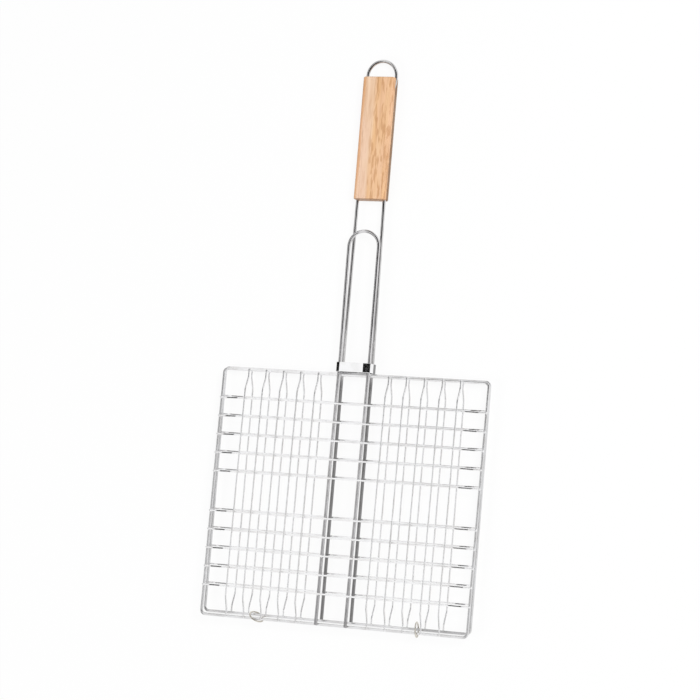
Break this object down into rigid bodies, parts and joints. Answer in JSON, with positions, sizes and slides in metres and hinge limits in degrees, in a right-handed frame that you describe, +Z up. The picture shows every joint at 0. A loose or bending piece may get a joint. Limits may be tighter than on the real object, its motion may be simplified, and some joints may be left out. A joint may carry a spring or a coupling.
{
  "type": "hinged wire grill basket",
  "caption": "Flat hinged grill basket of two dished wire grids with a long wooden-gripped handle, a short handle loop and a sliding band that clamps them shut.",
  "frame": {"origin": "middle of the closed basket's bounding box, on the plane it lies on", "axes": "+Y runs from the ring hinge to the hanging loop, +Z is up from the lower grid to the upper grid, +X is across the basket to the right seen from above"},
  "size_m": [0.303, 0.6052, 0.026],
  "materials": {
    "plated_wire": "bright nickel-chrome plated round steel wire, slightly wavy, with darker weld spots",
    "clip_chrome": "bright plated folded steel strip, mirror-like with fine rub marks",
    "ring_wire": "plated wire ring with a faint warm tint",
    "grip_wood": "light sanded unvarnished wood with fine lengthwise grain"
  },
  "bodies": {
    "lower_half": {"lower_rim": "plated_wire", "lower_long_wire_1": "plated_wire", "lower_long_wire_2": "plated_wire", "lower_long_wire_3": "plated_wire", "lower_long_wire_4": "plated_wire", "lower_long_wire_5": "plated_wire", "lower_long_wire_6": "plated_wire", "lower_long_wire_7": "plated_wire", "lower_long_wire_8": "plated_wire", "lower_long_wire_9": "plated_wire", "lower_long_wire_10": "plated_wire", "lower_cross_wire_1": "plated_wire", "lower_cross_wire_2": "plated_wire", "lower_cross_wire_3": "plated_wire", "lower_cross_wire_4": "plated_wire", "lower_cross_wire_5": "plated_wire", "lower_cross_wire_6": "plated_wire", "lower_cross_wire_7": "plated_wire", "lower_cross_wire_8": "plated_wire", "lower_cross_wire_9": "plated_wire", "lower_cross_wire_10": "plated_wire", "main_handle_wire": "plated_wire", "wooden_grip": "grip_wood"},
    "upper_half": {"upper_rim": "plated_wire", "upper_long_wire_1": "plated_wire", "upper_long_wire_2": "plated_wire", "upper_long_wire_3": "plated_wire", "upper_long_wire_4": "plated_wire", "upper_long_wire_5": "plated_wire", "upper_long_wire_6": "plated_wire", "upper_long_wire_7": "plated_wire", "upper_long_wire_8": "plated_wire", "upper_long_wire_9": "plated_wire", "upper_long_wire_10": "plated_wire", "upper_cross_wire_1": "plated_wire", "upper_cross_wire_2": "plated_wire", "upper_cross_wire_3": "plated_wire", "upper_cross_wire_4": "plated_wire", "upper_cross_wire_5": "plated_wire", "upper_cross_wire_6": "plated_wire", "upper_cross_wire_7": "plated_wire", "upper_cross_wire_8": "plated_wire", "upper_cross_wire_9": "plated_wire", "upper_cross_wire_10": "plated_wire", "upper_handle_loop": "plated_wire"},
    "slide_clip": {"slide_clip": "clip_chrome"},
    "hinge_ring_right": {"hinge_ring_right": "ring_wire"},
    "hinge_ring_left": {"hinge_ring_left": "ring_wire"}
  },
  "joints": [
    {"name": "ring_swing", "type": "hinge", "parent": "lower_half", "child": "hinge_ring_right", "pos_m": [0, -0.29402, 0.00896], "axis": [1, 0, 0], "range_deg": [0, 65.91]},
    {"name": "left_ring_swing", "type": "hinge", "parent": "lower_half", "child": "hinge_ring_left", "pos_m": [0, -0.29402, 0.00896], "axis": [1, 0, 0], "range_deg": [0, 65.91]},
    {"name": "lid_hinge", "type": "hinge", "parent": "hinge_ring_right", "child": "upper_half", "pos_m": [0, -0.29782, 0.01746], "axis": [1, 0, 0], "range_deg": [0, 115.22]},
    {"name": "clip_slide", "type": "slide", "parent": "lower_half", "child": "slide_clip", "axis": [0, 1, 0], "range_m": [0, 0.1733]}
  ],
  "couplings": [
    {"joint": "left_ring_swing", "follows": "ring_swing", "ratio": 1}
  ]
}
